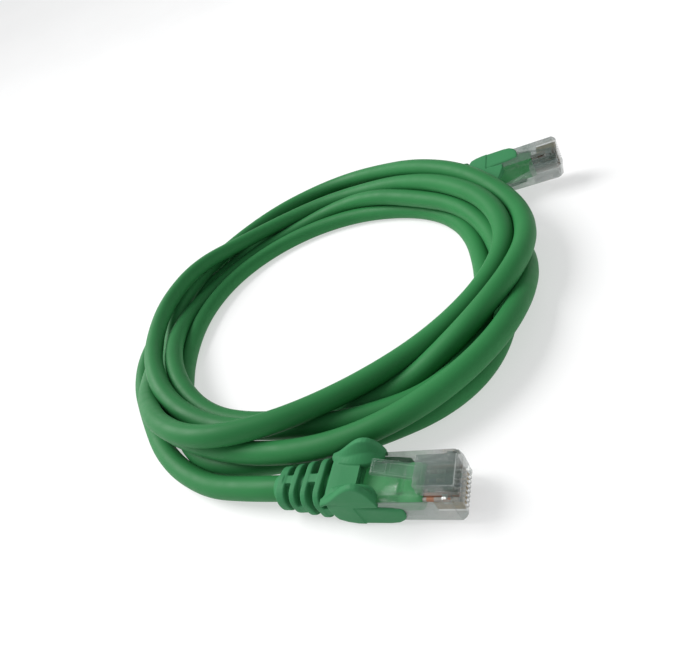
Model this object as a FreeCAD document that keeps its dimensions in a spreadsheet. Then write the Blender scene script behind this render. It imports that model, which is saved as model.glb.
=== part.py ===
import FreeCAD, Part
import math, os, re
from FreeCAD import Vector, Rotation, Placement

# Patch cable: one round jacketed cord wound into a flat coil of nearly six turns, with an
# eight-position modular plug and a moulded strain-relief boot on each end.
# Millimetres. The coil lies on z = 0. Plug a lies flat in front, plug b lies on its side behind.
# In each plug's own frame x = 0 is the nose, -x runs back along the cord, z = 0 is the contact
# face and +z is the latch side.

doc = FreeCAD.newDocument("PatchCable")
sheet = doc.addObject("Spreadsheet::Sheet", "Sizes")
SIZES = [
    ("body_w", 11.68, "width of the plug body"),
    ("body_len", 21.5, "length of the plug body"),
    ("nose_top", 6.6, "height of the nose half"),
    ("rail_top", 7.1, "height of the two rear side rails"),
    ("rail_back", 11.0, "nose to the start of the side rails"),
    ("channel_half", 3.45, "half width of the latch channel"),
    ("channel_nose", 5.2, "channel floor at the nose"),
    ("channel_rear", 5.9, "channel floor over the jacket chamber"),
    ("channel_step", 8.9, "nose to the step in the channel floor"),
    ("front_lip", 0.6, "lip in front of the latch root"),
    ("cavity_half", 4.5, "half width of the jacket chamber"),
    ("cavity_low", 0.8, "floor of the jacket chamber"),
    ("cavity_high", 5.4, "roof of the jacket chamber"),
    ("cavity_front", 9.2, "nose to the front of the jacket chamber"),
    ("wireway_half", 4.35, "half width of the conductor chamber"),
    ("wireway_low", 3.3, "floor of the conductor chamber"),
    ("wireway_high", 4.5, "roof of the conductor chamber"),
    ("wireway_front", 0.9, "nose to the end of the conductor chamber"),
    ("pitch", 1.016, "contact pitch"),
    ("slot_w", 0.55, "contact slot width"),
    ("slot_len", 6.4, "contact slot length"),
    ("blade_t", 0.35, "contact blade thickness"),
    ("blade_low", 0.5, "recess of the blade edge"),
    ("blade_high", 3.35, "top of the blade"),
    ("blade_front", 0.6, "nose to the front of the blade"),
    ("wire_d", 0.9, "conductor diameter over its insulation"),
    ("wire_z", 3.9, "conductor axis height"),
    ("hinge_x", 1.4, "nose to the latch axis"),
    ("hinge_z", 5.75, "height of the latch axis"),
    ("barrel_r", 0.62, "radius of the latch root"),
    ("groove_r", 0.67, "radius of the groove round the latch root"),
    ("latch_angle", 17.2, "rise of the free latch, degrees"),
    ("latch_w", 6.2, "width of the latch at its shoulders"),
    ("latch_t", 1.15, "thickness of the wide part"),
    ("latch_top", 0.764, "top face above the latch axis"),
    ("shoulder_len", 7.29, "latch axis to the shoulders along the latch"),
    ("tab_w", 3.25, "width of the latch tab"),
    ("tab_t", 1.0, "thickness of the latch tab"),
    ("tab_len", 16.85, "latch axis to the end of the tab"),
    ("cord_d", 6.0, "jacket diameter"),
    ("axis_z", 3.4, "cord axis above the contact face"),
    ("flat_half_w", 4.3, "half width of the jacket crimped in the plug"),
    ("flat_half_h", 1.85, "half height of the jacket crimped in the plug"),
    ("flat_z", 3.1, "axis of the crimped jacket"),
    ("bore_r", 3.05, "bore of the boot"),
    ("boot_len", 44.0, "nose to the rear of the boot"),
    ("boot_front", 16.85, "nose to the front of the sleeve"),
    ("arm_front", 12.1, "nose to the front of the side arms"),
    ("bend_start", 22.0, "nose to where a bent boot starts to bend"),
    ("bend_r", 35.0, "bend radius of boot b along its axis"),
    ("core_r", 3.75, "radius of the boot's core between its ribs"),
    ("collar_r", 3.95, "radius of the boot's rear collar"),
    ("sleeve_top", 8.02, "top of the sleeve"),
    ("ear_top", 12.8, "crest of the guard ears"),
    ("ear_out", 6.45, "outer face of the guard ears from the middle"),
    ("a_x", -1.1634, "plug a nose, x"), ("a_y", -86.8455, "plug a nose, y"), ("a_up", 1.9, "plug a nose, z"),
    ("a_yaw", -33.3347, "plug a yaw, degrees"), ("a_pitch", 0.0, "plug a pitch"), ("a_roll", 2.8648, "plug a roll"),
    ("b_x", 82.9859, "plug b nose, x"), ("b_y", 2.9238, "plug b nose, y"), ("b_up", 10.7, "plug b nose, z"),
    ("b_yaw", -36.0390, "plug b yaw, degrees"), ("b_pitch", -2.9106, "plug b pitch"), ("b_roll", 106.6504, "plug b roll"),
    ("ring_x", -8.9541, "middle of the coil, x"), ("ring_y", 8.7038, "middle of the coil, y"),
    ("pocket_gap", 0.35, "space kept round each boot inside the coil's outer shape"),
]
for i, (alias, value, note) in enumerate(SIZES, 1):
    sheet.set("A%d" % i, note)
    sheet.set("B%d" % i, str(value))
    sheet.setAlias("B%d" % i, alias)
doc.recompute()


def size(name):
    return float(getattr(sheet, name))


def ex(text):
    return re.sub(r"[a-z][a-z0-9_]*", lambda m: "Sizes." + m.group(0), text)


def box(name, x, y, z):
    o = doc.addObject("Part::Box", name)
    for prop, (lo, hi) in (("Length", x), ("Width", y), ("Height", z)):
        o.setExpression(prop, ex("(%s) - (%s)" % (hi, lo)))
    for axis, (lo, hi) in (("x", x), ("y", y), ("z", z)):
        o.setExpression("Placement.Base." + axis, ex(lo))
    return o


def fuse(name, shapes):
    o = doc.addObject("Part::MultiFuse", name)
    o.Shapes = shapes
    return o


def cut(name, base, tool):
    o = doc.addObject("Part::Cut", name)
    o.Base, o.Tool = base, tool
    return o


WIRES = ["white_orange", "orange", "white_green", "blue", "white_blue", "green", "white_brown", "brown"]
nodes = {}


def keep(label, obj):
    obj.Label = label
    nodes[label] = obj
    return obj


# The cord's route: control points of a quadratic spline from boot a to boot b.
ROUTE = [
    (-38.017, -62.808, 5.296), (-45.537, -57.862, 5.296), (-58.546, -46.331, 3.108),
    (-69.986, -27.450, 3.000), (-76.164, -3.508, 3.042), (-80.718, 21.185, 3.013),
    (-77.799, 43.244, 3.022), (-65.860, 61.588, 3.020), (-47.883, 75.964, 3.020),
    (-25.793, 84.818, 3.020), (-2.007, 86.640, 3.020), (20.095, 81.220, 3.020),
    (36.591, 69.444, 3.019), (44.959, 52.017, 3.024), (47.225, 30.756, 3.000),
    (50.771, 8.971, 3.062), (52.314, -12.029, 3.000), (47.885, -31.431, 3.397),
    (36.299, -48.574, 6.995), (19.212, -61.681, 9.397), (-1.614, -66.695, 9.555),
    (-23.303, -62.621, 8.478), (-42.851, -50.995, 8.768), (-58.758, -34.769, 10.137),
    (-68.862, -16.959, 7.394), (-70.174, 4.001, 3.000), (-68.509, 26.834, 3.155),
    (-63.401, 48.537, 7.579), (-50.162, 67.108, 9.300), (-30.629, 81.072, 9.108),
    (-8.290, 88.775, 8.789), (12.169, 88.375, 7.974), (27.373, 78.552, 9.006),
    (37.585, 59.818, 12.185), (46.222, 35.949, 16.174), (54.136, 11.453, 16.052),
    (56.947, -10.663, 11.608), (50.980, -29.756, 10.499), (36.726, -44.035, 11.831),
    (17.062, -51.269, 8.933), (-2.713, -52.078, 3.000), (-22.327, -45.278, 3.000),
    (-41.161, -34.501, 3.062), (-55.702, -20.243, 5.243), (-62.678, -0.133, 9.174),
    (-63.700, 24.084, 9.076), (-57.821, 46.833, 5.861), (-44.267, 63.542, 3.130),
    (-25.217, 72.430, 3.000), (-4.531, 73.275, 3.059), (14.047, 66.124, 5.690),
    (28.227, 50.419, 8.976), (39.030, 28.501, 9.087), (47.181, 6.278, 9.063),
    (46.910, -14.903, 6.414), (38.088, -36.619, 3.131), (24.737, -55.677, 3.000),
    (7.320, -64.668, 3.708), (-13.857, -61.796, 3.877), (-36.086, -53.497, 3.000),
    (-54.637, -42.017, 3.025), (-63.786, -25.699, 3.039), (-63.973, -2.983, 3.000),
    (-61.468, 21.394, 3.224), (-53.286, 43.280, 3.617), (-39.429, 59.652, 3.348),
    (-20.637, 67.420, 3.006), (0.197, 65.715, 3.023), (19.461, 55.488, 3.143),
    (34.422, 39.281, 3.000), (43.808, 20.026, 3.037), (44.960, -2.050, 3.034),
    (36.336, -26.901, 3.014), (23.078, -49.030, 3.035), (6.012, -59.155, 3.000),
    (-15.233, -54.832, 4.233), (-36.241, -43.714, 6.209), (-52.705, -30.942, 7.651),
    (-63.443, -15.161, 10.533), (-68.936, 5.780, 12.582), (-69.026, 28.631, 12.574),
    (-62.002, 49.376, 14.013), (-47.385, 65.138, 14.358), (-27.614, 74.421, 10.137),
    (-6.108, 77.459, 7.924), (13.531, 72.869, 7.441), (28.961, 60.010, 8.477),
    (39.732, 40.262, 11.859), (46.863, 16.103, 14.845), (51.027, -7.315, 13.870),
    (46.373, -26.289, 10.723), (31.960, -38.923, 9.031), (11.431, -45.492, 7.346),
    (-11.596, -48.842, 8.797), (-33.788, -49.953, 12.797), (-52.090, -44.800, 16.000),
    (-64.022, -29.488, 15.708), (-72.024, -6.879, 11.039), (-75.149, 17.296, 5.356),
    (-72.621, 38.919, 3.000), (-62.705, 56.395, 3.026), (-45.363, 70.378, 3.020),
    (-22.649, 79.261, 3.031), (1.644, 80.634, 3.011), (22.777, 72.157, 3.000),
    (38.011, 55.121, 6.166), (47.787, 37.997, 10.495), (50.418, 30.511, 9.478),
]


def route_samples(points, per_piece=24):
    """Points along the quadratic spline that the control points make, clamped at both ends."""
    n = len(points)
    v = [Vector(*p) for p in points]
    out = []
    for i in range(n - 2):
        a = v[0] if i == 0 else (v[i] + v[i + 1]) * 0.5
        b = v[n - 1] if i == n - 3 else (v[i + 1] + v[i + 2]) * 0.5
        for k in range(per_piece):
            t = k / float(per_piece)
            out.append(a * ((1 - t) ** 2) + v[i + 1] * (2 * t * (1 - t)) + b * (t * t))
    out.append(v[n - 1])
    return out


SAMPLES = route_samples(ROUTE)
ALONG = [0.0]
for p, q in zip(SAMPLES, SAMPLES[1:]):
    ALONG.append(ALONG[-1] + (q - p).Length)
print("cord from boot to boot: %.1f mm" % ALONG[-1])


def at_length(s):
    for i in range(1, len(ALONG)):
        if ALONG[i] >= s:
            t = (s - ALONG[i - 1]) / (ALONG[i] - ALONG[i - 1])
            return SAMPLES[i - 1] * (1 - t) + SAMPLES[i] * t
    return SAMPLES[-1]


# ---- frames along a plug's axis: s is the distance back from the nose ----
def station(s, bent):
    s0, r, z = size("bend_start"), size("bend_r"), size("axis_z")
    if not bent or s <= s0:
        return Placement(Vector(-s, 0, z), Rotation())
    a = (s - s0) / r
    return Placement(Vector(-s0 - r * math.sin(a), 0, z - r * (1 - math.cos(a))),
                     Rotation(Vector(0, 1, 0), -math.degrees(a)))


def rounded(half_w, low, high, corner, pl):
    """A rounded rectangle across the axis; low and high are heights above the contact face."""
    z = size("axis_z")
    a, b, w, c = low - z, high - z, half_w, corner
    k = c * (1 - math.sqrt(0.5))
    P = lambda y, h: Vector(0, y, h)
    edges = [
        Part.makeLine(P(-w + c, a), P(w - c, a)), Part.Arc(P(w - c, a), P(w - k, a + k), P(w, a + c)).toShape(),
        Part.makeLine(P(w, a + c), P(w, b - c)), Part.Arc(P(w, b - c), P(w - k, b - k), P(w - c, b)).toShape(),
        Part.makeLine(P(w - c, b), P(-w + c, b)), Part.Arc(P(-w + c, b), P(-w + k, b - k), P(-w, b - c)).toShape(),
        Part.makeLine(P(-w, b - c), P(-w, a + c)), Part.Arc(P(-w, a + c), P(-w + k, a + k), P(-w + c, a)).toShape(),
    ]
    w_ = Part.Wire(edges)
    w_.transformShape(pl.toMatrix())
    return w_


def polygon(points, pl):
    z = size("axis_z")
    v = [pl.multVec(Vector(0, y, h - z)) for y, h in points]
    return Part.makePolygon(v + [v[0]])


def loft(wires):
    return Part.makeLoft(wires, True, True)


def pipe(r, s1, s2, bent):
    """A round bar along the axis, straight up to the bend and a ring segment beyond it."""
    s0 = size("bend_start")
    out = []
    if not bent or s1 < s0:
        e = s2 if not bent else min(s2, s0)
        out.append(Part.makeCylinder(r, e - s1, Vector(-e, 0, size("axis_z")), Vector(1, 0, 0)))
    if bent and s2 > s0:
        b = max(s1, s0)
        pl = station(b, True)
        face = Part.Face(Part.Wire([Part.makeCircle(r, pl.Base, pl.Rotation.multVec(Vector(1, 0, 0)))]))
        centre = Vector(-s0, 0, size("axis_z") - size("bend_r"))
        out.append(face.revolve(centre, Vector(0, -1, 0), math.degrees((s2 - b) / size("bend_r"))))
    return out if len(out) == 1 else [out[0].fuse(out[1]).removeSplitter()]


def slab(s1, s2, half_w, low, high, bent):
    z = size("axis_z")
    b = Part.makeBox(s2 - s1, 2 * half_w, high - low, Vector(-(s2 - s1) / 2.0, -half_w, low - z))
    b.transformShape(station((s1 + s2) / 2.0, bent).toMatrix())
    return b


def boot_shape(bent):
    solids = pipe(size("core_r"), 31.0, size("boot_len"), bent)
    solids += pipe(size("collar_r"), size("boot_len") - 0.7, size("boot_len"), bent)
    for s, t, half_w, low, high, corner in ((41.325, 1.125, 4.85, -0.4, 7.4, 3.4), (37.965, 0.765, 5.22, -0.68, 7.42, 3.3),
                                            (34.725, 0.775, 5.52, -0.98, 7.65, 3.1), (31.275, 0.825, 5.88, -1.22, 7.8, 3.0)):
        pl = station(s, bent)
        w = rounded(half_w, low, high, corner, Placement(pl.Base - pl.Rotation.multVec(Vector(t, 0, 0)), pl.Rotation))
        solids.append(Part.Face(w).extrude(pl.Rotation.multVec(Vector(2 * t, 0, 0))))
    # bridges: above and below the cord in the first and third gaps, beside it in the other two
    solids += [slab(38.3, 40.7, 0.98, -0.3, 7.28, bent), slab(31.7, 34.3, 1.02, -0.7, 7.55, bent)]
    solids += [slab(35.2, 37.6, 5.1, 1.5, 4.3, bent), slab(28.6, 30.9, 5.5, 1.5, 4.3, bent)]
    # sleeve: full round the plug's rear, then a raised upper half over a lower panel that tapers into two arms
    top = size("sleeve_top")
    rows = [(29.2, 5.6, -0.8, 7.3, 2.7), (28.4, 6.1, -1.25, 7.85, 2.3), (26.5, 6.32, -1.42, 8.0, 1.7), (24.0, 6.45, -1.5, top, 1.3),
            (22.5, 6.45, -1.5, top, 1.2)]
    solids.append(loft([rounded(w, a, b, c, station(s, bent)) for s, w, a, b, c in rows]))
    solids.append(loft([rounded(6.45, 5.6, top, 0.6, station(s, bent)) for s in (22.6, size("boot_front"))]))
    rows = [(22.7, 6.22, -1.5, 6.2, 1.1), (20.0, 6.22, -1.5, 5.6, 1.1), (16.6, 6.22, -1.5, 5.35, 1.1), (14.6, 6.22, -1.3, 5.3, 1.3),
            (13.3, 6.2, -0.6, 5.25, 1.6), (12.5, 6.15, 0.5, 5.2, 1.6), (size("arm_front"), 6.05, 1.6, 5.05, 1.5)]
    solids.append(loft([rounded(w, a, b, c, station(s, bent)) for s, w, a, b, c in rows]))
    # guard ears either side of the latch tab: fins with a steep front and a long slope at the rear, hollowed inside
    def inner(s):
        reach = 8.3 if s > 21.6 else 5.6
        return 5.2 - 2.95 * math.sqrt(max(0.0, 1 - ((s - 21.6) / reach) ** 2))
    for side in (-1, 1):
        wires = []
        for s, z in ((16.9, 8.4), (17.15, 9.5), (17.8, 11.35), (18.3, 12.1), (19.0, 12.6), (20.0, size("ear_top")), (21.0, 12.65),
                     (22.0, 12.2), (24.0, 10.9), (26.0, 9.4), (28.0, 8.05), (29.0, 7.6)):
            i, o = inner(s), size("ear_out")
            quad = [(i, 7.2), (o, 7.2), (o, z - 0.3), (o - 0.35, z), (max(i + 0.15, o - 1.4), z)]
            wires.append(polygon([(side * y, h) for y, h in quad], station(s, bent)))
        solids.append(loft(wires))
    body = solids[0].multiFuse(solids[1:])
    tools = pipe(size("bore_r"), size("body_len") - 0.1, size("boot_len") + 1.0, bent)
    tools.append(Part.makeBox(size("body_len") - 12.0, size("body_w"), size("rail_top"),
                              Vector(-size("body_len"), -size("body_w") / 2.0, 0)))
    # mouth above the latch: it follows the ears' inner faces
    line = [(-s, inner(s) - 0.02) for s in (21.8, 20.5, 19.5, 18.5, 17.6)] + [(-16.0, 5.3), (-16.0, -5.3)]
    line += [(-s, -inner(s) + 0.02) for s in (17.6, 18.5, 19.5, 20.5, 21.8)]
    line = [Vector(x, y, 7.0) for x, y in line]
    tools.append(Part.Face(Part.makePolygon(line + line[:1])).extrude(Vector(0, 0, 1.4)))
    return body.cut(tools).removeSplitter()


def jacket_end_shape(bent):
    low = size("flat_z") - size("flat_half_h")
    high = size("flat_z") + size("flat_half_h")
    flat = Part.Face(rounded(size("flat_half_w"), low, high, size("flat_half_h") - 0.01,
                             station(size("cavity_front"), False))).extrude(Vector(-(size("body_len") - size("cavity_front")), 0, 0))
    return pipe(size("cord_d") / 2.0, size("body_len"), size("boot_len"), bent)[0].fuse(flat)


def envelope(bent, ears):
    g = size("pocket_gap")
    top = 12.9 if ears else 9.3
    rows = [(44.4, 4.3, -0.8, 7.6), (41.5, 4.9 + g, -0.4 - g, 7.0 + g), (37.7, 5.25 + g, -0.7 - g, 7.3 + g), (33.2, 5.9 + g, -1.15 - g, 7.8 + g),
            (31.6, 6.1 + g, -1.3 - g, top), (27.0, 6.5 + g, -1.5 - g, top), (22.0, 6.5 + g, -1.5 - g, top), (8.0, 6.5 + g, -1.5 - g, top)]
    return loft([polygon([(-w, a), (w, a), (w, b), (-w, b)], station(s, bent)) for s, w, a, b in rows])


def make_end(end, bent):
    pose = Placement(Vector(size(end + "_x"), size(end + "_y"), size(end + "_up")),
                     Rotation(size(end + "_yaw"), size(end + "_pitch"), size(end + "_roll")))
    n = "plug_" + end + "_"

    # plug body: block, side rails, then the latch channel, chambers, contact slots and latch groove
    half = "body_w / 2"
    block = box(n + "block", ("-body_len", "0"), ("-" + half, half), ("0", "nose_top"))
    rails = [box(n + "rail_%d" % k, ("-body_len", "-rail_back"), y, ("nose_top - 1", "rail_top"))
             for k, y in enumerate((("-" + half, "-channel_half"), ("channel_half", half)))]
    tools = [
        box(n + "channel_front", ("-channel_step", "-front_lip"), ("-channel_half", "channel_half"), ("channel_nose", "rail_top + 1")),
        box(n + "channel_back", ("-body_len - 1", "-channel_step + 0.01"), ("-channel_half", "channel_half"), ("channel_rear", "rail_top + 1")),
        box(n + "jacket_chamber", ("-body_len - 1", "-cavity_front"), ("-cavity_half", "cavity_half"), ("cavity_low", "cavity_high")),
        box(n + "wire_chamber", ("-cavity_front - 1", "-wireway_front"), ("-wireway_half", "wireway_half"), ("wireway_low", "wireway_high")),
    ]
    for k in range(8):
        mid = "pitch * %.1f" % (k - 3.5)
        tools.append(box(n + "slot_%d" % (k + 1), ("-slot_len", "1"), (mid + " - slot_w / 2", mid + " + slot_w / 2"), ("-1", "wireway_low + 0.1")))
    groove = doc.addObject("Part::Cylinder", n + "groove")
    groove.Placement = Placement(Vector(0, 0, 0), Rotation(Vector(1, 0, 0), 90))
    groove.setExpression("Radius", ex("groove_r"))
    groove.setExpression("Height", ex("channel_half * 2"))
    groove.setExpression("Placement.Base.x", ex("-hinge_x"))
    groove.setExpression("Placement.Base.y", ex("channel_half"))
    groove.setExpression("Placement.Base.z", ex("hinge_z"))
    housing = keep(n + "housing", cut(n + "body_cut", fuse(n + "body_outer", [block] + rails), fuse(n + "body_tools", tools + [groove])))
    housing.Placement = pose

    # latch: root barrel, wide part and tab, tilted up about the root
    barrel = doc.addObject("Part::Cylinder", n + "barrel")
    barrel.Placement = Placement(Vector(0, 0, 0), Rotation(Vector(1, 0, 0), 90))
    barrel.setExpression("Radius", ex("barrel_r"))
    barrel.setExpression("Height", ex("latch_w"))
    barrel.setExpression("Placement.Base.y", ex("latch_w / 2"))
    wide = box(n + "latch_wide", ("-shoulder_len", "0"), ("-latch_w / 2", "latch_w / 2"), ("latch_top - latch_t", "latch_top"))
    tab = box(n + "latch_tab", ("-tab_len", "-shoulder_len + 0.5"), ("-tab_w / 2", "tab_w / 2"), ("latch_top - tab_t", "latch_top"))
    latch = keep(n + "latch", fuse(n + "latch_all", [barrel, wide, tab]))
    latch.Placement = pose * Placement(Vector(-size("hinge_x"), 0, size("hinge_z")), Rotation(Vector(0, 1, 0), size("latch_angle")))

    # eight contact blades in one group
    blades = []
    for k in range(8):
        mid = "pitch * %.1f" % (k - 3.5)
        blades.append(box(n + "blade_%d" % (k + 1), ("-slot_len", "-blade_front"), (mid + " - blade_t / 2", mid + " + blade_t / 2"), ("blade_low", "blade_high")))
    contacts = doc.addObject("Part::Compound", n + "blades")
    contacts.Links = blades
    keep(n + "contacts", contacts).Placement = pose

    # eight conductors, in the usual order from the first contact to the last
    for k, colour in enumerate(WIRES):
        w = doc.addObject("Part::Cylinder", n + "conductor_%d" % (k + 1))
        w.setExpression("Radius", ex("wire_d / 2"))
        w.setExpression("Height", ex("cavity_front - wireway_front"))
        w.Placement = pose * Placement(Vector(-size("cavity_front"), size("pitch") * (k - 3.5), size("wire_z")), Rotation(Vector(0, 1, 0), 90))
        keep(n + "wire_" + colour, w)

    for label, shape in ((n + "jacket_end", jacket_end_shape(bent)), ("boot_" + end, boot_shape(bent))):
        o = doc.addObject("Part::Feature", label + "_solid")
        o.Shape = shape
        o.Placement = pose
        keep(label, o)
    return pose


pose_a = make_end("a", False)
pose_b = make_end("b", True)


# ---- the coil: one closed ring that follows the outside of the bundle of turns ----
def coil_shape():
    cx, cy, r = size("ring_x"), size("ring_y"), size("cord_d") / 2.0
    total = ALONG[-1]
    polar = []
    for p, s in zip(SAMPLES, ALONG):
        if 46.0 < s < total - 6.0:
            polar.append((math.degrees(math.atan2(p.y - cy, p.x - cx)), math.hypot(p.x - cx, p.y - cy), p.z))
    rows = []
    for k in range(36):
        a = k * 10.0
        near = [(d, z) for t, d, z in polar if abs((t - a + 180.0) % 360.0 - 180.0) < 6.0]
        reach = []
        for q in range(8):
            c, s = math.cos(math.pi / 4 * q), math.sin(math.pi / 4 * q)
            reach.append(max(d * c + z * s for d, z in near) + r)
        reach[6] = 0.0
        pts = []
        for q in range(8):
            a1, a2 = math.pi / 4 * q, math.pi / 4 * (q + 1)
            s1, s2 = reach[q], reach[(q + 1) % 8]
            det = math.sin(a2 - a1)
            pts.append(((s1 * math.sin(a2) - s2 * math.sin(a1)) / det, (s2 * math.cos(a1) - s1 * math.cos(a2)) / det))
        ca, sa = math.cos(math.radians(a)), math.sin(math.radians(a))
        v = [Vector(cx + d * ca, cy + d * sa, max(z, 0.0)) for d, z in pts]
        rows.append(v)
    # eight corners a section: the side between corners 5 and 6 is the flat underside
    rims = [Part.makePolygon([v[k] for v in rows + rows[:1]]) for k in (6, 5)]
    faces = [Part.makeFace(rims, "Part::FaceMakerBullseye")]
    for k in range(36):
        a, b = rows[k], rows[(k + 1) % 36]
        for q in range(8):
            if q != 5:
                p = (q + 1) % 8
                faces.append(Part.makeRuledSurface(Part.makeLine(a[q], a[p]), Part.makeLine(b[q], b[p])))
    shell = Part.makeShell(faces)
    shell.sewShape()
    shell = shell if isinstance(shell, Part.Shell) else shell.Shells[0]
    solid = Part.Solid(shell)
    if solid.Volume < 0:
        solid.reverse()
    return solid


ring = coil_shape()
print("ring closed", ring.isClosed(), "valid", ring.isValid(), "volume", round(ring.Volume, 1))
pockets = []
for pose, bent, ears in ((pose_a, False, False), (pose_b, True, True)):
    e = envelope(bent, ears)
    e.transformShape(pose.toMatrix())
    pockets.append(e)
ring = ring.cut(pockets)
solids = sorted(ring.Solids, key=lambda s: -s.Volume)
print("coil solids:", [round(s.Volume, 1) for s in solids])
coil = doc.addObject("Part::Feature", "cable_coil_solid")
coil.Shape = solids[0]
coil.Placement = Placement()
keep("cable_coil", coil)


# ---- the two free stretches: straight runs joined by tangent arcs ----
def tube(points, r):
    v = [Vector(*p) for p in points]
    edges, start, radii = [], v[0], []
    for i in range(1, len(v) - 1):
        d1, d2 = (v[i] - v[i - 1]), (v[i + 1] - v[i])
        run = min(d1.Length, d2.Length)
        d1.normalize()
        d2.normalize()
        half = math.acos(max(-1.0, min(1.0, d1.dot(d2)))) / 2.0
        back = 0.45 * run
        radius = back / math.tan(half)
        radii.append(radius)
        p1, p2 = v[i] - d1 * back, v[i] + d2 * back
        centre = v[i] + (d2 - d1).normalize() * (radius / math.cos(half))
        mid = centre + (v[i] - centre).normalize() * radius
        edges.append(Part.LineSegment(start, p1).toShape())
        edges.append(Part.Arc(p1, mid, p2).toShape())
        start = p2
    edges.append(Part.LineSegment(start, v[-1]).toShape())
    path = Part.Wire(edges)
    d = (v[1] - v[0]).normalize()
    ring_wire = Part.Wire([Part.makeCircle(r, v[0], d)])
    solid = path.makePipeShell([ring_wire], True, False) if len(v) > 2 else Part.makeCylinder(r, (v[1] - v[0]).Length, v[0], d)
    want = math.pi * r * r * path.Length
    print("tube: length %.1f, radii %s, volume %.1f against %.1f" % (path.Length, [round(x, 1) for x in radii], solid.Volume, want))
    return solid


r = size("cord_d") / 2.0
exit_a = pose_a.multVec(Vector(-size("boot_len"), 0, size("axis_z")))
out_a = pose_a.Rotation.multVec(Vector(-1, 0, 0))
st = station(size("boot_len"), True)
exit_b = pose_b.multVec(st.Base)
out_b = pose_b.Rotation.multVec(st.Rotation.multVec(Vector(-1, 0, 0)))
print("exit a", exit_a, out_a, "route start", ROUTE[0])
print("exit b", exit_b, out_b, "route end", ROUTE[-1])
run_a = [exit_a, exit_a + out_a * 11.0] + [at_length(s) for s in (24.0, 38.0, 52.0, 63.0)]
run_b = [exit_b, exit_b + out_b * 8.0]
for label, pts in (("cable_tail_a", run_a), ("cable_tail_b", run_b)):
    o = doc.addObject("Part::Feature", label + "_solid")
    o.Shape = tube([(p.x, p.y, max(p.z, r + 0.01)) for p in pts], r)
    o.Placement = Placement()
    keep(label, o)

doc.recompute()
bad = [o.Name for o in doc.Objects if "Invalid" in o.State or "Error" in o.State]
for label, o in nodes.items():
    if o.Shape.isNull() or not o.Shape.isValid() or not o.Shape.Solids:
        bad.append(label)
if bad:
    raise RuntimeError("failed objects: %s" % bad)

os.makedirs("parts", exist_ok=True)
lo, hi = [1e9] * 3, [-1e9] * 3
for label, o in nodes.items():
    o.Shape.exportStep("parts/%s.step" % label)
    b = o.Shape.BoundBox
    lo = [min(x, y) for x, y in zip(lo, (b.XMin, b.YMin, b.ZMin))]
    hi = [max(x, y) for x, y in zip(hi, (b.XMax, b.YMax, b.ZMax))]
    print("%-28s solids %d volume %9.2f  z %.2f..%.2f" % (label, len(o.Shape.Solids), o.Shape.Volume, b.ZMin, b.ZMax))
print("box", [round(x, 3) for x in lo], [round(x, 3) for x in hi], "nodes", len(nodes))
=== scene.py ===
import math
import bpy
import bmesh
from mathutils import Matrix, Vector


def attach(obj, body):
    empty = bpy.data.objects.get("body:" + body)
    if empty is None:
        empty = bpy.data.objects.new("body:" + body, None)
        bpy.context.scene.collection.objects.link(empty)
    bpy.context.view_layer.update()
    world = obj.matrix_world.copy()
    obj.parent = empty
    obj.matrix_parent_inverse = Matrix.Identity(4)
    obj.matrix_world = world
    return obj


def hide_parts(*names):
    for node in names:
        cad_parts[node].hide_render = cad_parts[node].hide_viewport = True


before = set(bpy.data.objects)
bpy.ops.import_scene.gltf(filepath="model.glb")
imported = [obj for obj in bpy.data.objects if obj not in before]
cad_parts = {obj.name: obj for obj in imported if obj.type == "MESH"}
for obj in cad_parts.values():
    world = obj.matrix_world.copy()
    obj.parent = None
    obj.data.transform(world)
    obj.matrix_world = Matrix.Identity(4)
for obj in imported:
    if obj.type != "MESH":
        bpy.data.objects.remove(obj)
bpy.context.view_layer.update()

# Patch cable: a coiled green cord with a clear modular plug and a ribbed boot on each end.
# Lengths below are millimetres unless a name says otherwise; meshes are made in metres.
MM = 0.001
scene = bpy.context.scene
scene.view_settings.view_transform = "Standard"
scene.view_settings.look = "None"
scene.view_settings.exposure = 0.0
scene.view_settings.gamma = 1.0


# ---------------------------------------------------------------- camera
def make_camera():
    tilt, roll, dist = 0.59039, 0.52418, 170.94
    right0, up0, fwd = Vector((1, 0, 0)), Vector((0, math.sin(tilt), math.cos(tilt))), Vector((0, math.cos(tilt), -math.sin(tilt)))
    right = right0 * math.cos(roll) - up0 * math.sin(roll)
    up = right0 * math.sin(roll) + up0 * math.cos(roll)
    at = Vector((5.9541, 12.2962, 0.0)) * -1.0 - fwd * dist
    data = bpy.data.cameras.new("Camera")
    data.sensor_fit = "HORIZONTAL"
    data.sensor_width = 36.0
    data.lens = 544.03 / 700.0 * 36.0
    data.clip_start, data.clip_end = 0.005, 20.0
    cam = bpy.data.objects.new("Camera", data)
    m = Matrix.Identity(4)
    for i, v in enumerate((right, up, -fwd)):
        for k in range(3):
            m[k][i] = v[k]
    m.translation = at * MM
    cam.matrix_world = m
    scene.collection.objects.link(cam)
    scene.camera = cam
    return cam


camera = make_camera()


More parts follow.
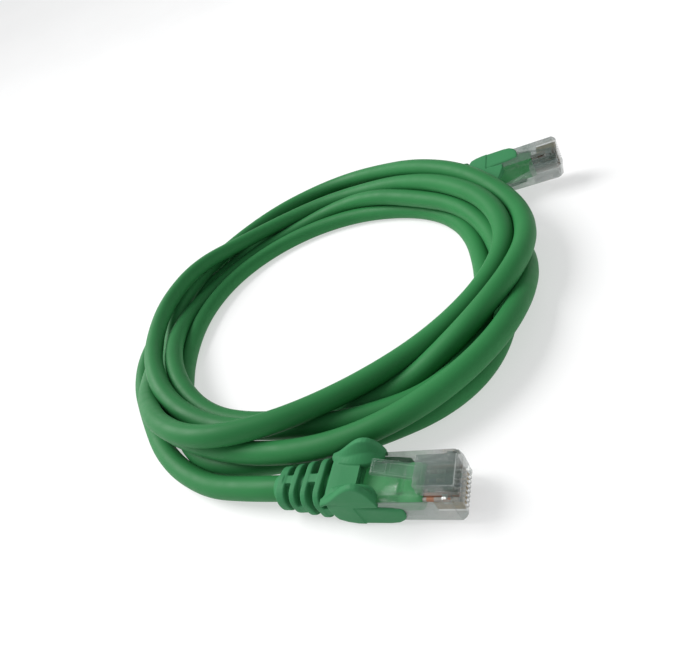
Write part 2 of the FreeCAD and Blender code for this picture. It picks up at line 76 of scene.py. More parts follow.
# ---------------------------------------------------------------- materials
class Nodes:
    def __init__(self, name):
        self.mat = bpy.data.materials.new(name)
        self.mat.use_nodes = True
        self.t = self.mat.node_tree
        self.bsdf = self.t.nodes["Principled BSDF"]

    def add(self, kind, **values):
        n = self.t.nodes.new(kind)
        for k, v in values.items():
            if hasattr(n, k):
                setattr(n, k, v)
            else:
                n.inputs[k.replace("_", " ")].default_value = v
        return n

    def link(self, a, b):
        self.t.links.new(a, b)

    def noise(self, scale, detail=2.0, rough=0.5):
        if not hasattr(self, "co"):
            self.co = self.add("ShaderNodeTexCoord").outputs["Object"]
        n = self.add("ShaderNodeTexNoise")
        n.inputs["Scale"].default_value = scale
        n.inputs["Detail"].default_value = detail
        n.inputs["Roughness"].default_value = rough
        self.link(self.co, n.inputs["Vector"])
        return n.outputs["Fac"]

    def ramp(self, fac, stops):
        r = self.add("ShaderNodeValToRGB")
        while len(r.color_ramp.elements) < len(stops):
            r.color_ramp.elements.new(0.5)
        for e, (p, c) in zip(r.color_ramp.elements, stops):
            e.position, e.color = p, (*c, 1.0) if len(c) == 3 else c
        self.link(fac, r.inputs["Fac"])
        return r.outputs["Color"]

    def map(self, fac, a, b, lo=0.0, hi=1.0):
        m = self.add("ShaderNodeMapRange")
        m.inputs["From Min"].default_value, m.inputs["From Max"].default_value = lo, hi
        m.inputs["To Min"].default_value, m.inputs["To Max"].default_value = a, b
        self.link(fac, m.inputs["Value"])
        return m.outputs["Result"]

    def bump(self, height, strength, distance):
        b = self.add("ShaderNodeBump")
        b.inputs["Strength"].default_value = strength
        b.inputs["Distance"].default_value = distance
        self.link(height, b.inputs["Height"])
        if hasattr(self, "last_bump"):
            self.link(self.last_bump, b.inputs["Normal"])
        self.last_bump = b.outputs["Normal"]
        self.link(self.last_bump, self.bsdf.inputs["Normal"])


def green_rubber(name, base, rough, grain, grain_mm, spread=0.08, spec=0.45):
    """Coloured soft plastic: a little mottling in the colour, fine surface grain and uneven gloss."""
    n = Nodes(name)
    big = n.noise(55.0, 3.0)
    lo = tuple(c * (1 - spread) for c in base)
    hi = tuple(min(1.0, c * (1 + spread)) for c in base)
    n.link(n.ramp(big, [(0.3, lo), (0.7, hi)]), n.bsdf.inputs["Base Color"])
    n.link(n.map(n.noise(240.0, 3.0), rough - 0.05, rough + 0.07, 0.3, 0.7), n.bsdf.inputs["Roughness"])
    n.bump(n.noise(900.0 / grain_mm, 3.0, 0.6), grain, 0.00006)
    n.bsdf.inputs["Specular IOR Level"].default_value = spec
    n.bsdf.inputs["IOR"].default_value = 1.47
    return n.mat


GREEN = (0.027, 0.182, 0.054)
mat_cord = green_rubber("cord_jacket", GREEN, 0.50, 0.10, 1.0, 0.06, 0.16)
# painted glow: the flattened jacket inside the plug gets a green emission, standing in for light scattered onto it by
# the clear plastic round it
mat_jacket_painted_glow = green_rubber("jacket_end", GREEN, 0.50, 0.10, 1.0, 0.10, 0.16)
mat_jacket_painted_glow.node_tree.nodes["Principled BSDF"].inputs["Emission Color"].default_value = GREEN + (1.0,)
mat_jacket_painted_glow.node_tree.nodes["Principled BSDF"].inputs["Emission Strength"].default_value = 0.45
mat_boot = green_rubber("boot_moulding", (0.040, 0.208, 0.082), 0.58, 0.5, 0.5, 0.06, 0.16)


def clear_plastic(name, tint, rough, cover, painted_glow=0.05):
    """Clear plastic: mostly see-through, with a faint grey body and a hard gloss that shows on the edges; the emission
    in its tint is a painted glow, standing in for light carried through the plastic.
    """
    n = Nodes(name)
    lo, hi = tuple(c * 0.93 for c in tint), tuple(c * 1.07 for c in tint)
    n.link(n.ramp(n.noise(300.0, 2.0), [(0.3, lo), (0.7, hi)]), n.bsdf.inputs["Base Color"])
    n.link(n.map(n.noise(180.0, 3.0), cover * 0.85, cover * 1.2, 0.3, 0.7), n.bsdf.inputs["Alpha"])
    n.bsdf.inputs["Transmission Weight"].default_value = 0.25
    # painted glow: emission in the plastic's own tint, standing in for light that passes through it
    n.bsdf.inputs["Emission Color"].default_value = tint + (1.0,)
    n.bsdf.inputs["Emission Strength"].default_value = painted_glow
    n.bsdf.inputs["IOR"].default_value = 1.58
    n.bsdf.inputs["Specular IOR Level"].default_value = 1.0
    n.bsdf.inputs["Coat Weight"].default_value = 0.7
    n.bsdf.inputs["Coat IOR"].default_value = 1.6
    n.bsdf.inputs["Coat Roughness"].default_value = 0.10
    n.link(n.map(n.noise(700.0, 3.0), rough * 0.6, rough * 1.6, 0.35, 0.7), n.bsdf.inputs["Roughness"])
    n.bump(n.noise(260.0, 2.0), 0.18, 0.0001)
    return n.mat


mat_thin = clear_plastic("clear_thin_wall", (0.30, 0.36, 0.34), 0.14, 0.06)
mat_clear = clear_plastic("clear_thick_wall", (0.125, 0.17, 0.15), 0.13, 0.56, 0.03)
mat_top = clear_plastic("clear_top_wall", (0.155, 0.20, 0.18), 0.12, 0.30, 0.03)
# painted edge shade: a denser grey copy of the clear plastic, with a painted glow, for bevel faces, so the edges show
# as grey lines that stand in for refraction
mat_edge_painted_shade = clear_plastic("clear_edge", (0.27, 0.32, 0.30), 0.10, 0.60, 0.03)
# painted reflection: the latch's green tint stands in for the green boot reflected in it
mat_latch = clear_plastic("clear_latch", (0.17, 0.29, 0.22), 0.10, 0.24, 0.06)
# painted highlight: a bright, strongly glowing copy of the clear plastic that draws the latch's edges as light lines
mat_painted_highlight_latch_edge = clear_plastic("clear_latch_edge_painted_highlight", (0.76, 0.78, 0.76), 0.10, 0.62, 0.42)


def gold():
    n = Nodes("gold_contacts")
    n.bsdf.inputs["Metallic"].default_value = 1.0
    n.link(n.ramp(n.noise(900.0, 2.0), [(0.3, (0.34, 0.24, 0.11)), (0.7, (0.46, 0.34, 0.18))]), n.bsdf.inputs["Base Color"])
    n.link(n.map(n.noise(1500.0, 2.0), 0.36, 0.5, 0.3, 0.7), n.bsdf.inputs["Roughness"])
    return n.mat


mat_gold = gold()


def insulation(name, colour, stripe, along):
    """Conductor insulation; a banded conductor shows its second colour in short marks along its length."""
    n = Nodes(name)
    fine = n.noise(600.0, 2.0)
    lo, hi = tuple(c * 0.92 for c in colour), tuple(min(1.0, c * 1.06) for c in colour)
    base = n.ramp(fine, [(0.3, lo), (0.7, hi)])
    if stripe:
        dot = n.add("ShaderNodeVectorMath", operation="DOT_PRODUCT")
        n.link(n.co, dot.inputs[0])
        dot.inputs[1].default_value = tuple(along)
        k = n.add("ShaderNodeMath", operation="MULTIPLY")
        n.link(dot.outputs["Value"], k.inputs[0])
        k.inputs[1].default_value = 1.0 / 0.0034
        f = n.add("ShaderNodeMath", operation="FRACT")
        n.link(k.outputs[0], f.inputs[0])
        g = n.add("ShaderNodeMath", operation="GREATER_THAN")
        n.link(f.outputs[0], g.inputs[0])
        g.inputs[1].default_value = 0.55
        mix = n.add("ShaderNodeMix", data_type="RGBA")
        n.link(g.outputs[0], mix.inputs["Factor"])
        n.link(base, mix.inputs[6])
        mix.inputs[7].default_value = (*stripe, 1.0)
        base = mix.outputs[2]
    n.link(base, n.bsdf.inputs["Base Color"])
    n.bsdf.inputs["Roughness"].default_value = 0.42
    return n.mat


# ---------------------------------------------------------------- mesh helpers
def new_object(name, bm, material, smooth=True):
    me = bpy.data.meshes.new(name)
    bm.to_mesh(me)
    bm.free()
    o = bpy.data.objects.new(name, me)
    scene.collection.objects.link(o)
    if material:
        me.materials.append(material)
    if smooth:
        for p in me.polygons:
            p.use_smooth = True
    return o


def applied(o):
    """The object with its modifiers made real."""
    bpy.context.view_layer.update()
    dg = bpy.context.evaluated_depsgraph_get()
    me = bpy.data.meshes.new_from_object(o.evaluated_get(dg))
    o.modifiers.clear()
    o.data = me
    return o


def box_bm(bm, x, y, z):
    vs = [bm.verts.new((a * MM, b * MM, c * MM)) for a in x for b in y for c in z]
    for f in ((0, 1, 3, 2), (4, 6, 7, 5), (0, 4, 5, 1), (2, 3, 7, 6), (0, 2, 6, 4), (1, 5, 7, 3)):
        bm.faces.new([vs[i] for i in f])


def box_obj(name, x, y, z):
    bm = bmesh.new()
    box_bm(bm, x, y, z)
    bmesh.ops.recalc_face_normals(bm, faces=bm.faces)
    return new_object(name, bm, None, False)


def loft_bm(bm, sections):
    rings = [[bm.verts.new((p[0] * MM, p[1] * MM, p[2] * MM)) for p in s] for s in sections]
    n = len(rings[0])
    for a, b in zip(rings, rings[1:]):
        for i in range(n):
            k = (i + 1) % n
            bm.faces.new((a[i], a[k], b[k], b[i]))
    bm.faces.new(rings[0][::-1])
    bm.faces.new(rings[-1])


def rounded(s, half_w, low, high, corner, steps=6):
    pts = []
    for cy, cz, a0 in ((half_w - corner, high - corner, 0), (-half_w + corner, high - corner, 90), (-half_w + corner, low + corner, 180), (half_w - corner, low + corner, 270)):
        for k in range(steps + 1):
            a = math.radians(a0 + 90.0 * k / steps)
            pts.append((-s, cy + corner * math.cos(a), cz + corner * math.sin(a)))
    return pts


def circle(s, r, cz=3.4, steps=40):
    return [(-s, r * math.cos(2 * math.pi * k / steps), cz + r * math.sin(2 * math.pi * k / steps)) for k in range(steps)]


def prism_obj(name, profile, y0, y1):
    """A profile in x and z, pushed through from y0 to y1."""
    bm = bmesh.new()
    loft_bm(bm, [[(x, y0, z) for x, z in profile], [(x, y1, z) for x, z in profile]])
    bmesh.ops.recalc_face_normals(bm, faces=bm.faces)
    return new_object(name, bm, None, False)


def slab_obj(name, outline, z0, z1):
    """An outline in x and y, pushed up from z0 to z1."""
    bm = bmesh.new()
    loft_bm(bm, [[(x, y, z0) for x, y in outline], [(x, y, z1) for x, y in outline]])
    bmesh.ops.recalc_face_normals(bm, faces=bm.faces)
    return new_object(name, bm, None, False)


def boolean(base, tools, how="DIFFERENCE"):
    for t in tools:
        m = base.modifiers.new("b", "BOOLEAN")
        m.operation, m.solver, m.object = how, "EXACT", t
    applied(base)
    for t in tools:
        bpy.data.objects.remove(t)
    return base


def bevel(o, width, segments=2, angle=35.0, edge=False):
    if edge:
        o.data.materials.clear()
        o.data.materials.append(mat_clear)
        o.data.materials.append(mat_edge_painted_shade)
    m = o.modifiers.new("bevel", "BEVEL")
    m.width, m.segments, m.limit_method, m.angle_limit = width * MM, segments, "ANGLE", math.radians(angle)
    m.use_clamp_overlap = True
    if edge:
        m.material = 1
    return applied(o)


def shade(o, material, angle=35.0, edge=None):
    keep = [p.material_index for p in o.data.polygons] if edge else None
    o.data.materials.clear()
    o.data.materials.append(material)
    if edge:
        o.data.materials.append(edge)
    for k, p in enumerate(o.data.polygons):
        p.material_index = keep[k] if edge else 0
        p.use_smooth = True
    o.data.set_sharp_from_angle(angle=math.radians(angle))
    return o


BEND_START, BEND_R, AXIS_Z = 22.0, 35.0, 3.4


def bend(o):
    """Curves a piece made straight along a plug's axis, back of the bend's start, towards the contact side."""
    for v in o.data.vertices:
        s = -v.co.x / MM
        if s > BEND_START:
            a = (s - BEND_START) / BEND_R
            h = v.co.z / MM - AXIS_Z
            v.co.x = (-BEND_START - BEND_R * math.sin(a) - math.sin(a) * h) * MM
            v.co.z = (AXIS_Z - BEND_R * (1 - math.cos(a)) + math.cos(a) * h) * MM
    o.data.update()
    return o


POSES = {
    "a": Matrix.Translation(Vector((-1.1634, -86.8455, 1.9)) * MM) @ Matrix.Rotation(-0.5818, 4, "Z") @ Matrix.Rotation(0.05, 4, "X"),
    "b": Matrix.Translation(Vector((82.9859, 2.9238, 10.7)) * MM) @ Matrix.Rotation(-0.629, 4, "Z") @ Matrix.Rotation(-0.0508, 4, "Y") @ Matrix.Rotation(1.8614, 4, "X"),
}

# ---------------------------------------------------------------- cord
ROUTE = [
    (-38.017, -62.808, 5.296), (-45.537, -57.862, 5.296), (-58.546, -46.331, 3.108),
    (-69.986, -27.450, 3.000), (-76.164, -3.508, 3.042), (-80.718, 21.185, 3.013),
    (-77.799, 43.244, 3.022), (-65.860, 61.588, 3.020), (-47.883, 75.964, 3.020),
    (-25.793, 84.818, 3.020), (-2.007, 86.640, 3.020), (20.095, 81.220, 3.020),
    (36.591, 69.444, 3.019), (44.959, 52.017, 3.024), (47.225, 30.756, 3.000),
    (50.771, 8.971, 3.062), (52.314, -12.029, 3.000), (47.885, -31.431, 3.397),
    (36.299, -48.574, 6.995), (19.212, -61.681, 9.397), (-1.614, -66.695, 9.555),
    (-23.303, -62.621, 8.478), (-42.851, -50.995, 8.768), (-58.758, -34.769, 10.137),
    (-68.862, -16.959, 7.394), (-70.174, 4.001, 3.000), (-68.509, 26.834, 3.155),
    (-63.401, 48.537, 7.579), (-50.162, 67.108, 9.300), (-30.629, 81.072, 9.108),
    (-8.290, 88.775, 8.789), (12.169, 88.375, 7.974), (27.373, 78.552, 9.006),
    (37.585, 59.818, 12.185), (46.222, 35.949, 16.174), (54.136, 11.453, 16.052),
    (56.947, -10.663, 11.608), (50.980, -29.756, 10.499), (36.726, -44.035, 11.831),
    (17.062, -51.269, 8.933), (-2.713, -52.078, 3.000), (-22.327, -45.278, 3.000),
    (-41.161, -34.501, 3.062), (-55.702, -20.243, 5.243), (-62.678, -0.133, 9.174),
    (-63.700, 24.084, 9.076), (-57.821, 46.833, 5.861), (-44.267, 63.542, 3.130),
    (-25.217, 72.430, 3.000), (-4.531, 73.275, 3.059), (14.047, 66.124, 5.690),
    (28.227, 50.419, 8.976), (39.030, 28.501, 9.087), (47.181, 6.278, 9.063),
    (46.910, -14.903, 6.414), (38.088, -36.619, 3.131), (24.737, -55.677, 3.000),
    (7.320, -64.668, 3.708), (-13.857, -61.796, 3.877), (-36.086, -53.497, 3.000),
    (-54.637, -42.017, 3.025), (-63.786, -25.699, 3.039), (-63.973, -2.983, 3.000),
    (-61.468, 21.394, 3.224), (-53.286, 43.280, 3.617), (-39.429, 59.652, 3.348),
    (-20.637, 67.420, 3.006), (0.197, 65.715, 3.023), (19.461, 55.488, 3.143),
    (34.422, 39.281, 3.000), (43.808, 20.026, 3.037), (44.960, -2.050, 3.034),
    (36.336, -26.901, 3.014), (23.078, -49.030, 3.035), (6.012, -59.155, 3.000),
    (-15.233, -54.832, 4.233), (-36.241, -43.714, 6.209), (-52.705, -30.942, 7.651),
    (-63.443, -15.161, 10.533), (-68.936, 5.780, 12.582), (-69.026, 28.631, 12.574),
    (-62.002, 49.376, 14.013), (-47.385, 65.138, 14.358), (-27.614, 74.421, 10.137),
    (-6.108, 77.459, 7.924), (13.531, 72.869, 7.441), (28.961, 60.010, 8.477),
    (39.732, 40.262, 11.859), (46.863, 16.103, 14.845), (51.027, -7.315, 13.870),
    (46.373, -26.289, 10.723), (31.960, -38.923, 9.031), (11.431, -45.492, 7.346),
    (-11.596, -48.842, 8.797), (-33.788, -49.953, 12.797), (-52.090, -44.800, 16.000),
    (-64.022, -29.488, 15.708), (-72.024, -6.879, 11.039), (-75.149, 17.296, 5.356),
    (-72.621, 38.919, 3.000), (-62.705, 56.395, 3.026), (-45.363, 70.378, 3.020),
    (-22.649, 79.261, 3.031), (1.644, 80.634, 3.011), (22.777, 72.157, 3.000),
    (38.011, 55.121, 6.166), (47.787, 37.997, 10.495), (50.418, 30.511, 9.478),
]


def make_cord():
    cu = bpy.data.curves.new("cord", "CURVE")
    cu.dimensions = "3D"
    sp = cu.splines.new("NURBS")
    sp.points.add(len(ROUTE) - 1)
    for p, (x, y, z) in zip(sp.points, ROUTE):
        p.co = (x * MM, y * MM, z * MM, 1.0)
    sp.order_u = 3
    sp.use_endpoint_u = True
    sp.resolution_u = 12
    cu.resolution_u = 12
    cu.bevel_depth = 0.003
    cu.bevel_resolution = 9
    cu.use_fill_caps = True
    cu.materials.append(mat_cord)
    o = bpy.data.objects.new("cord", cu)
    scene.collection.objects.link(o)
    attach(o, "cable")
    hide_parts("cable_coil", "cable_tail_a", "cable_tail_b")
    return o


cord = make_cord()


# ---------------------------------------------------------------- boot
def table(s, rows):
    rows = sorted(rows)
    if s <= rows[0][0]:
        return rows[0][1]
    for (a, x), (b, y) in zip(rows, rows[1:]):
        if s <= b:
            t = (s - a) / (b - a)
            return x + (y - x) * t
    return rows[-1][1]


EAR_TOP = [(16.8, 7.9), (16.95, 8.6), (17.15, 9.5), (17.4, 10.4), (17.8, 11.35), (18.3, 12.1), (19.0, 12.6), (20.0, 12.8), (21.0, 12.65), (22.0, 12.2), (23.0, 11.6), (24.0, 10.9), (25.0, 10.15), (26.0, 9.4), (27.0, 8.7), (28.0, 8.05), (29.0, 7.6), (29.8, 7.25)]


def ear_inner(s):
    k = math.sqrt(max(0.0, 1 - ((s - 21.6) / 8.3) ** 2)) if s > 21.6 else math.sqrt(max(0.0, 1 - ((s - 21.6) / 5.6) ** 2))
    return 5.2 - 2.95 * k


def straight_boot():
    bm = bmesh.new()
    # flare from the cord up to the first rib, and the core under the ribs
    loft_bm(bm, [circle(44.0, 3.03), circle(43.6, 3.12), circle(43.2, 3.35), circle(42.8, 3.7), circle(42.3, 4.15, 3.42), circle(41.0, 4.2, 3.45)])
    loft_bm(bm, [circle(44.0, 3.02), circle(30.0, 3.12)])
    e = 0.22
    for sr, sf, w, lo, hi, c in ((42.45, 40.2, 4.85, -0.4, 7.4, 3.5), (38.73, 37.2, 5.22, -0.68, 7.42, 3.3), (35.5, 33.95, 5.52, -0.98, 7.65, 3.1), (32.1, 30.45, 5.88, -1.22, 7.8, 3.0)):
        loft_bm(bm, [rounded(sr, w - e, lo + e, hi - e, c - e), rounded(sr - e, w, lo, hi, c), rounded(sf + e, w, lo, hi, c), rounded(sf, w - e, lo + e, hi - e, c - e)])
    # bridges across the slots: top and bottom in the first and third, both sides in the second and fourth
    for s0, s1, w, lo, hi in ((38.2, 40.8, 0.98, -0.3, 7.28), (33.3, 34.2, 1.0, -0.7, 7.55), (31.6, 34.4, 1.02, -0.7, 7.58)):
        box_bm(bm, (-s1, -s0), (-w, w), (lo, hi))
    for s0, s1, w in ((35.2, 37.6, 5.1), (29.4, 30.9, 5.7)):
        box_bm(bm, (-s1, -s0), (-w, w), (1.5, 4.3))
    # sleeve: full round the plug's rear, then a raised upper half, and a lower panel set back from it
    rows = [(29.2, 5.5, -0.7, 7.2, 2.8), (29.0, 5.8, -0.95, 7.5, 2.7), (28.4, 6.1, -1.25, 7.85, 2.3), (26.5, 6.32, -1.42, 8.0, 1.7), (24.0, 6.45, -1.5, 8.02, 1.3), (22.4, 6.45, -1.5, 8.02, 1.2)]
    loft_bm(bm, [rounded(*r) for r in rows])
    loft_bm(bm, [rounded(22.6, 6.45, 5.6, 8.02, 0.6), rounded(20.0, 6.45, 5.6, 8.02, 0.6), rounded(16.85, 6.42, 5.6, 8.02, 0.6)])
    loft_bm(bm, [rounded(22.8, 6.22, -1.5, 6.2, 1.1), rounded(20.0, 6.22, -1.5, 5.6, 1.1), rounded(16.6, 6.22, -1.5, 5.35, 1.1), rounded(14.6, 6.22, -1.3, 5.3, 1.3), rounded(13.3, 6.2, -0.6, 5.25, 1.6), rounded(12.5, 6.15, 0.5, 5.2, 1.6), rounded(12.1, 6.05, 1.6, 5.05, 1.5)])
    # guard ears
    for side in (-1, 1):
        sec = []
        for s, top in sorted(EAR_TOP):
            i = ear_inner(s)
            o = 6.45 - 0.25 * max(0.0, (top - 9.0) / 3.5)
            cr = max(i + 0.25, o - 1.45)
            base = min(7.2, top - 0.9)
            mid = (i + cr) / 2.0 + 0.3
            sec.append([(-s, side * y, z) for y, z in ((i, base), (6.42, base), (6.45, min(8.4, top - 0.5)), (o, top - 0.45), (o - 0.25, top - 0.12), (o - 0.6, top), (cr + 0.2, top + 0.05), (cr, top - 0.15), (mid, (8.2 + top) / 2.0 - 0.3), (i, max(base + 0.1, min(8.3, top - 0.3))))])
        loft_bm(bm, sec)
    bmesh.ops.recalc_face_normals(bm, faces=bm.faces)
    o = new_object("boot_work", bm, None)
    m = o.modifiers.new("r", "REMESH")
    m.mode, m.voxel_size, m.adaptivity = "VOXEL", 0.16 * MM, 0.0
    m = o.modifiers.new("s", "SMOOTH")
    m.factor, m.iterations = 0.5, 3
    applied(o)
    # the pocket for the plug body, and the opening above the latch
    pocket = box_obj("pocket", (-21.5, -11.0), (-5.85, 5.85), (-0.01, 7.12))
    outline = [(-s, ear_inner(s) - 0.02) for s in (21.8, 21.2, 20.5, 19.5, 18.5, 17.6)] + [(-16.0, 5.3), (-16.0, -5.3)] + [(-s, -ear_inner(s) + 0.02) for s in (17.6, 18.5, 19.5, 20.5, 21.2, 21.8)]
    mouth = slab_obj("mouth", outline, 6.9, 9.0)
    boolean(o, [pocket, mouth])
    m = o.modifiers.new("d", "DECIMATE")
    m.decimate_type, m.ratio = "COLLAPSE", 0.35
    applied(o)
    return o


def copy_object(o, name):
    c = o.copy()
    c.data = o.data.copy()
    c.name = c.data.name = name
    scene.collection.objects.link(c)
    return c


def place(o, end, body, node):
    o.data.transform(POSES[end])
    o.data.update()
    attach(o, body)
    if node:
        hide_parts(node)
    return o


boot = straight_boot()
shade(boot, mat_boot, 42.0)
boot_far = bend(copy_object(boot, "boot_shell_b"))
boot.name = "boot_shell_a"
place(boot, "a", "cable", "boot_a")
place(boot_far, "b", "cable", "boot_b")


# ---------------------------------------------------------------- jacket end inside the plug
def straight_jacket():
    bm = bmesh.new()
    sec = []
    for s, w, h, z in ((44.0, 3.0, 3.0, 3.4), (24.0, 3.0, 3.0, 3.4), (22.6, 3.35, 2.85, 3.35), (21.6, 4.3, 2.4, 3.2), (20.6, 4.95, 2.1, 3.12), (18.0, 5.15, 2.05, 3.12), (14.4, 5.15, 2.05, 3.12), (13.7, 5.1, 1.75, 2.9), (12.5, 5.1, 1.75, 2.9), (11.9, 5.1, 2.05, 3.1), (9.2, 5.0, 2.0, 3.1), (8.6, 4.85, 1.9, 3.1), (8.3, 4.5, 1.6, 3.1)):
        steps = 48
        pts = []
        p = 2.0 if abs(w - h) < 0.01 else 3.2
        for k in range(steps):
            a = 2 * math.pi * k / steps
            c, d = math.cos(a), math.sin(a)
            pts.append((-s, w * math.copysign(abs(c) ** (2 / p), c), z + h * math.copysign(abs(d) ** (2 / p), d)))
        sec.append(pts)
    loft_bm(bm, sec)
    bmesh.ops.recalc_face_normals(bm, faces=bm.faces)
    return new_object("jacket_work", bm, mat_jacket_painted_glow)


jacket = straight_jacket()
# more rings along the straight part, so that it can bend
bm = bmesh.new()
bm.from_mesh(jacket.data)
long_edges = [e for e in bm.edges if abs(e.verts[0].co.x - e.verts[1].co.x) > 0.01]
bmesh.ops.subdivide_edges(bm, edges=long_edges, cuts=16, use_grid_fill=True)
bm.to_mesh(jacket.data)
bm.free()
for p in jacket.data.polygons:
    p.use_smooth = True
jacket_far = bend(copy_object(jacket, "jacket_in_plug_b"))
jacket.name = "jacket_in_plug_a"
place(jacket, "a", "cable", "plug_a_jacket_end")
place(jacket_far, "b", "cable", "plug_b_jacket_end")


# ---------------------------------------------------------------- plug body
def plug_body():
    core = box_obj("body_work", (-21.5, 0.0), (-5.84, 5.84), (0.0, 6.6))
    # bevelled nose corners, then the two side rails
    m = core.modifiers.new("bevel", "BEVEL")
    m.width, m.segments, m.limit_method = 0.01 * MM, 1, "ANGLE"
    core.modifiers.clear()
    nose = slab_obj("nose_cut_1", [(0.5, 5.84 - 1.1 - 0.5), (0.5, 6.5), (-1.1 - 0.66, 6.5), (-1.1, 5.84)], -1.0, 9.0)
    nose2 = slab_obj("nose_cut_2", [(0.5, -5.84 + 1.1 + 0.5), (0.5, -6.5), (-1.1 - 0.66, -6.5), (-1.1, -5.84)], -1.0, 9.0)
    low = prism_obj("nose_cut_3", [(0.3, -0.3), (0.3, 0.75), (-0.75, -0.3)], -7.0, 7.0)
    boolean(core, [nose, nose2, low])
    rails = []
    for side in (-1, 1):
        y = sorted((side * 3.45, side * 5.84))
        rails.append(prism_obj("rail", [(-21.5, 5.0), (-1.2, 5.0), (-1.5, 6.85), (-2.1, 7.0), (-21.5, 7.1)], *y))
    boolean(core, rails, "UNION")
    bevel(core, 0.28, 3)
    tools = [
        box_obj("t", (-8.9, -0.6), (-3.45, 3.45), (5.2, 9.0)),
        box_obj("t", (-22.5, -8.89), (-3.45, 3.45), (5.9, 9.0)),
        box_obj("t", (-22.5, -8.2), (-5.3, 5.3), (0.8, 5.35)),
        box_obj("t", (-9.0, -0.9), (-4.35, 4.35), (3.3, 4.5)),
        box_obj("t", (-3.3, -1.5), (4.15, 5.25), (5.3, 7.0)),
        box_obj("t", (-3.3, -1.5), (-5.25, -4.15), (5.3, 7.0)),
    ]
    boolean(core, tools)
    tools = []
    for k in range(8):
        y = 1.016 * (k - 3.5)
        tools.append(box_obj("t", (-6.4, 1.0), (y - 0.275, y + 0.275), (-1.0, 3.4)))
    # a window through the roof over the jacket, where the crimp bar sits
    tools.append(box_obj("t", (-13.9, -12.3), (-3.2, 3.2), (5.2, 7.0)))
    boolean(core, tools)
    # painted edge shade: the bevel faces take the denser grey edge material
    bevel(core, 0.15, 2, 40.0, True)
    return core


body = plug_body()
shade(body, mat_clear, 30.0, mat_edge_painted_shade)
# thin walls over the jacket look clearer than the solid nose and sides
body.data.materials.append(mat_thin)
body.data.materials.append(mat_top)
for p in body.data.polygons:
    c = p.center / MM
    if p.material_index == 0 and (c.x < -8.0 and abs(c.y) < 5.7 or c.x < -0.7 and abs(c.y) < 5.7 and 0.3 < c.z < 6.2):
        p.material_index = 2
    elif p.material_index == 0 and p.normal.z > 0.8:
        p.material_index = 3
body_far = copy_object(body, "plug_body_b")
body.name = "plug_body_a"
place(body, "a", "cable", "plug_a_housing")
place(body_far, "b", "cable", "plug_b_housing")


# the crimp bar that presses on the jacket, seen through the body
def crimp_bar():
    o = prism_obj("crimp_work", [(-14.0, 5.35), (-13.75, 4.65), (-12.45, 4.65), (-12.2, 5.35), (-12.35, 5.85), (-13.85, 5.85)], -3.15, 3.15)
    bevel(o, 0.14, 2, 35.0, True)
    return o


bar = shade(crimp_bar(), mat_thin, 30.0)
bar_far = copy_object(bar, "crimp_bar_b")
bar.name = "crimp_bar_a"
place(bar, "a", "cable", None)
place(bar_far, "b", "cable", None)


# ---------------------------------------------------------------- latch
def latch_mesh():
    """Made level along -x from the latch axis, then tilted to its free angle."""
    root = prism_obj("latch_work", [(0.62 * math.cos(math.radians(a)), 0.62 * math.sin(math.radians(a))) for a in range(0, 360, 20)], -3.1, 3.1)
    wide = prism_obj("w", [(0.1, -0.386), (0.1, 0.7), (-0.5, 0.764), (-7.29, 0.764), (-7.29, -0.386)], -3.1, 3.1)
    tab = prism_obj("w", [(-6.8, -0.236), (-6.8, 0.764), (-16.55, 0.764), (-16.85, 0.5), (-16.85, -0.236)], -1.625, 1.625)
    rim = box_obj("w", (-16.5, -13.7), (-1.42, 1.42), (0.6, 0.96))
    hollow = box_obj("w", (-16.15, -14.05), (-1.05, 1.05), (0.68, 1.2))
    boolean(root, [wide], "UNION")
    boolean(root, [tab], "UNION")
    boolean(root, [rim], "UNION")
    tools = [hollow, box_obj("w", (-6.6, -2.2), (-2.35, 2.35), (0.55, 1.2)), box_obj("w", (-12.9, -7.9), (-1.05, 1.05), (0.6, 1.2))]
    boolean(root, tools)
    bevel(root, 0.2, 2, 35.0, True)
    # painted highlight: the bevel faces, and the rear faces of the shoulders that face the light, take the bright edge
    # material
    for p in root.data.polygons:
        c = p.center / MM
        if abs(p.normal.x) > 0.8 and -7.5 < c.x < -6.9 and abs(c.y) > 1.5:
            p.material_index = 1
    return root


latch = shade(latch_mesh(), mat_latch, 30.0, mat_painted_highlight_latch_edge)
latch.data.transform(Matrix.Translation(Vector((-1.4, 0, 5.75)) * MM) @ Matrix.Rotation(math.radians(17.2), 4, "Y"))
latch_far = copy_object(latch, "latch_lever_b")
latch.name = "latch_lever_a"
place(latch, "a", "latch_a", "plug_a_latch")
place(latch_far, "b", "latch_b", "plug_b_latch")


# ---------------------------------------------------------------- contacts and conductors: the CAD pieces, with bevels and finishes
def dress(node, material, width):
    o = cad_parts[node]
    o.data.materials.clear()
    o.data.materials.append(material)
    if width:
        m = o.modifiers.new("bevel", "BEVEL")
        m.width, m.segments, m.limit_method, m.angle_limit = width * MM, 2, "ANGLE", math.radians(50)
    for p in o.data.polygons:
        p.use_smooth = True
    o.data.set_sharp_from_angle(angle=math.radians(40))


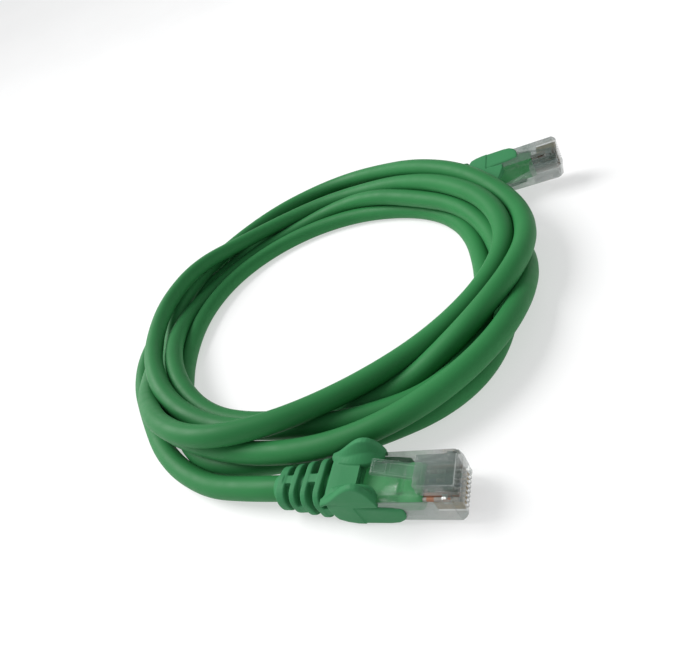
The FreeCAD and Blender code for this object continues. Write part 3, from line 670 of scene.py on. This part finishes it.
WHITE = (0.40, 0.36, 0.32)
COLOURS = {"orange": (0.42, 0.14, 0.055), "green": (0.045, 0.17, 0.08), "blue": (0.055, 0.085, 0.17), "brown": (0.16, 0.08, 0.05)}
for end in "ab":
    along = POSES[end].to_3x3() @ Vector((1, 0, 0))
    dress("plug_%s_contacts" % end, mat_gold, 0.06)
    for pair in COLOURS:
        dress("plug_%s_wire_%s" % (end, pair), insulation("wire_%s_%s" % (pair, end), COLOURS[pair], None, along), 0)
        dress("plug_%s_wire_white_%s" % (end, pair), insulation("wire_white_%s_%s" % (pair, end), WHITE, COLOURS[pair], along), 0)


# ---------------------------------------------------------------- stage and light
def make_stage():
    bm = bmesh.new()
    # a round floor whose rim rises slowly into a low wall, so that the horizon is as pale as the floor
    rows, steps = [], 96
    for r, z in [(0.6, 0.0), (1.8, 0.0), (3.0, 0.0)] + [(3.0 + 0.25 * i, 3.0 * (i / 16.0) ** 2) for i in range(1, 17)]:
        turn = [2 * math.pi * k / steps for k in range(steps)]
        rows.append([bm.verts.new((r * math.cos(a), r * math.sin(a), z)) for a in turn])
    bm.faces.new(rows[0])
    for low, high in zip(rows, rows[1:]):
        for k in range(steps):
            j = (k + 1) % steps
            bm.faces.new((low[k], high[k], high[j], low[j]))
    n = Nodes("floor_paint")
    n.link(n.ramp(n.noise(3.0, 2.0), [(0.3, (0.42, 0.42, 0.42)), (0.7, (0.44, 0.44, 0.44))]), n.bsdf.inputs["Base Color"])
    n.bsdf.inputs["Roughness"].default_value = 0.95
    n.bsdf.inputs["Specular IOR Level"].default_value = 0.05
    n.bsdf.inputs["Emission Color"].default_value = (1.0, 1.0, 1.0, 1.0)
    n.bsdf.inputs["Emission Strength"].default_value = 0.55
    o = new_object("floor", bm, n.mat, False)
    o.location.z = -0.0001
    for p in o.data.polygons:
        p.use_smooth = True
    w = bpy.data.worlds.new("studio")
    w.use_nodes = True
    w.node_tree.nodes["Background"].inputs["Color"].default_value = (0.96, 0.98, 1.0, 1.0)
    w.node_tree.nodes["Background"].inputs["Strength"].default_value = 0.37
    scene.world = w


def area(name, at, target, size, power, colour=(1, 1, 1)):
    d = bpy.data.lights.new(name, "AREA")
    d.shape, d.size, d.energy, d.color = "SQUARE", size, power, colour
    o = bpy.data.objects.new(name, d)
    scene.collection.objects.link(o)
    o.location = at
    o.rotation_euler = (Vector(target) - Vector(at)).to_track_quat("-Z", "Y").to_euler()
    return o


make_stage()
area("key", (-1.95, 1.6, 2.7), (0, 0, 0), 2.2, 170.0)
